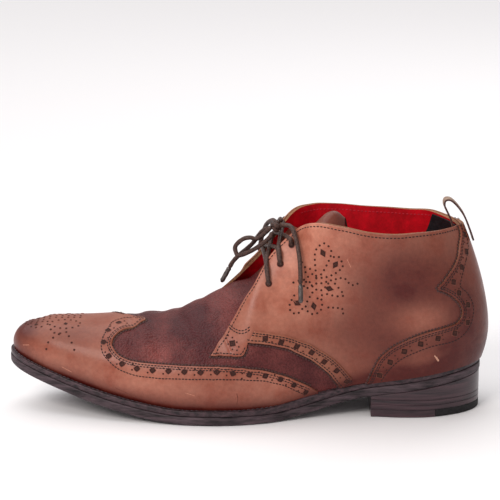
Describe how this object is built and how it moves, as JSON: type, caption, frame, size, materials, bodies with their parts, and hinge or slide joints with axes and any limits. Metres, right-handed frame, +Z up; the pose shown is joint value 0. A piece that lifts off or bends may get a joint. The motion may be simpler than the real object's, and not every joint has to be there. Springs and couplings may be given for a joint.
{
  "type": "wingtip ankle shoe",
  "caption": "Left wingtip ankle shoe in tan and oxblood leather, with open lacing, brogue bands, winged heel counter, pull loop, welted leather sole and stacked heel.",
  "frame": {"origin": "on the floor, under the middle of the shoe's bounding box without its free lace", "axes": "+X towards the heel, +Y towards the inner (medial) side, +Z up; the toe is at -X and the outer side at -Y"},
  "size_m": [0.3218, 0.1056, 0.1417],
  "materials": {
    "grain_leather": "oxblood brown grained leather, satin",
    "tan_calf": "burnished tan calf, satin gloss",
    "band_calf": "lighter tan calf band with punched holes",
    "black_lining": "bare black patch",
    "sole_leather": "worn dark edge, leather tread",
    "welt_leather": "dark stitched welt",
    "insole_leather": "bright red lining leather",
    "heel_rubber": "matt black rubber",
    "stacked_leather": "dark polished stacked leather",
    "waxed_lace": "dark brown round waxed cord",
    "aglet": "dark brown tip"
  },
  "bodies": {
    "root": {"upper": "grain_leather", "wing_cap": "tan_calf", "quarter_lateral": "tan_calf", "quarter_medial": "tan_calf", "brogue_strip_lateral": "band_calf", "brogue_strip_medial": "band_calf", "heel_counter": "tan_calf", "heel_lining_patch": "black_lining", "tongue": "grain_leather", "outsole": "sole_leather", "welt": "welt_leather", "insole": "insole_leather", "heel_tip": "heel_rubber", "top_piece": "stacked_leather", "heel_lift_1": "stacked_leather", "heel_lift_2": "stacked_leather", "heel_lift_3": "stacked_leather", "pull_loop": "tan_calf", "lace_crossings": "waxed_lace", "lace_knot": "waxed_lace", "lace_end_outer": "waxed_lace", "lace_end_inner": "waxed_lace", "lace_loop_front": "waxed_lace", "lace_loop_back": "waxed_lace", "aglet_outer": "aglet", "aglet_inner": "aglet"}
  },
  "joints": []
}
